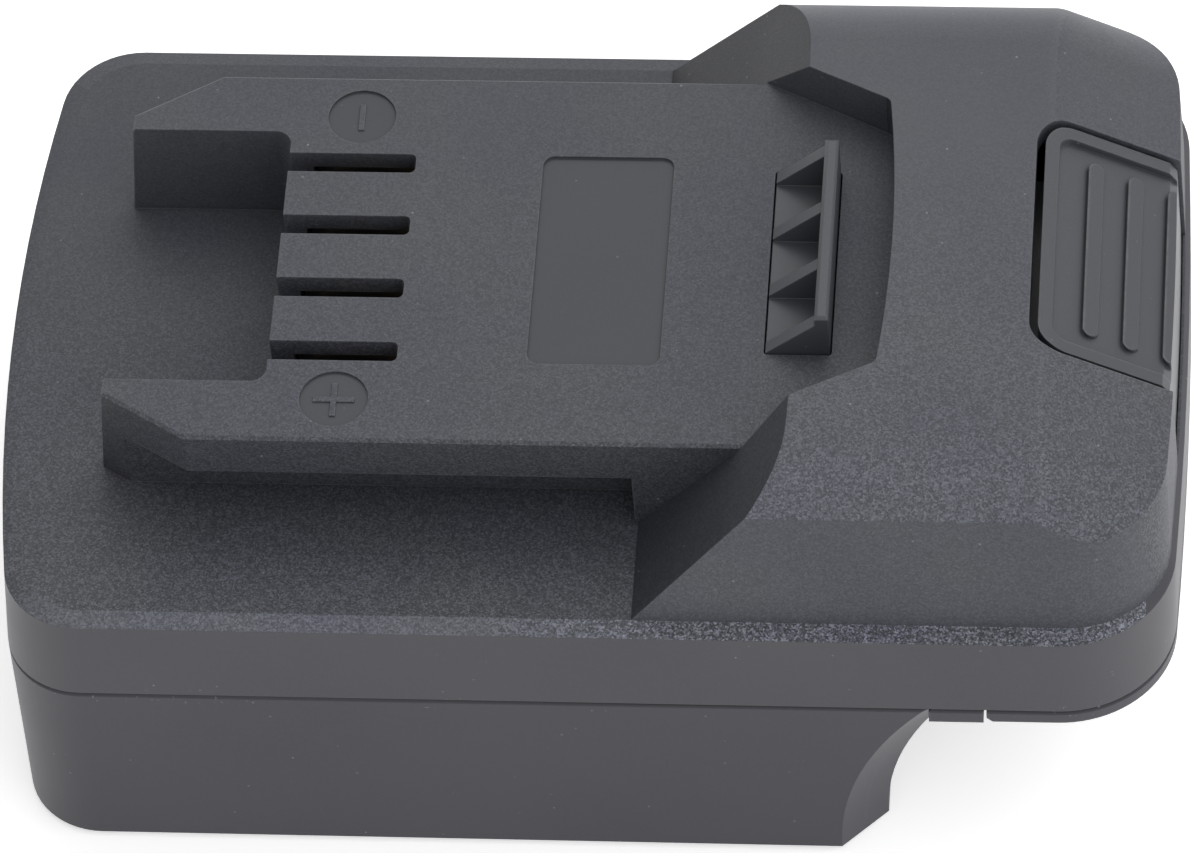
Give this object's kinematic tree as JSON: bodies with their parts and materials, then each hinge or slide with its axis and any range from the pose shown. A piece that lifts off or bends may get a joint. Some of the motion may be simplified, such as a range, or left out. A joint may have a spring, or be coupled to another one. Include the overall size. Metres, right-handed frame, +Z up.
{
  "type": "tool battery adapter",
  "caption": "Slide-on battery adapter for a cordless tool: railed top with terminal slots and a sprung latch with push button, and a battery channel underneath.",
  "frame": {"origin": "middle of the bounding box on the face that the adapter stands on", "axes": "+X from the terminal end to the button end, +Y across towards the minus mark, +Z up from the underside to the rails"},
  "size_m": [0.119, 0.074, 0.0541],
  "materials": {
    "shell_plastic": "fine spark-eroded grain on the tops, smooth satin on the sides",
    "latch_plastic": "smooth satin",
    "terminal_plastic": "smooth satin",
    "contact_metal": "bright stamped strip",
    "spring_steel": "bright drawn wire",
    "screw_steel": "zinc plated",
    "lead_red": "smooth sleeve",
    "lead_black": "smooth sleeve",
    "lead_white": "smooth sleeve"
  },
  "bodies": {
    "case": {"top_shell": "shell_plastic", "lower_shell": "shell_plastic", "latch_cover": "shell_plastic", "tool_terminal_holder": "terminal_plastic", "battery_terminal_block": "terminal_plastic", "latch_spring_near": "spring_steel", "latch_spring_far": "spring_steel", "tool_clip_positive": "contact_metal", "tool_clip_signal_b": "contact_metal", "tool_clip_signal_a": "contact_metal", "tool_clip_negative": "contact_metal", "battery_blade_positive": "contact_metal", "battery_blade_signal_b": "contact_metal", "battery_blade_signal_a": "contact_metal", "battery_blade_negative": "contact_metal", "lead_positive": "lead_red", "lead_signal_b": "lead_white", "lead_signal_a": "lead_white", "lead_negative": "lead_black", "case_screws": "screw_steel", "cover_screws": "screw_steel", "holder_screws": "screw_steel", "terminal_block_screws": "screw_steel"},
    "latch": {"latch_hook": "latch_plastic", "release_button": "latch_plastic"}
  },
  "joints": [
    {"name": "latch_slide", "type": "slide", "parent": "case", "child": "latch", "axis": [0, 0, 1], "range_m": [-0.0058, 0], "stiffness_N_per_m": 500, "springref_m": 0.003, "deforming": ["latch_spring_near", "latch_spring_far"]}
  ]
}
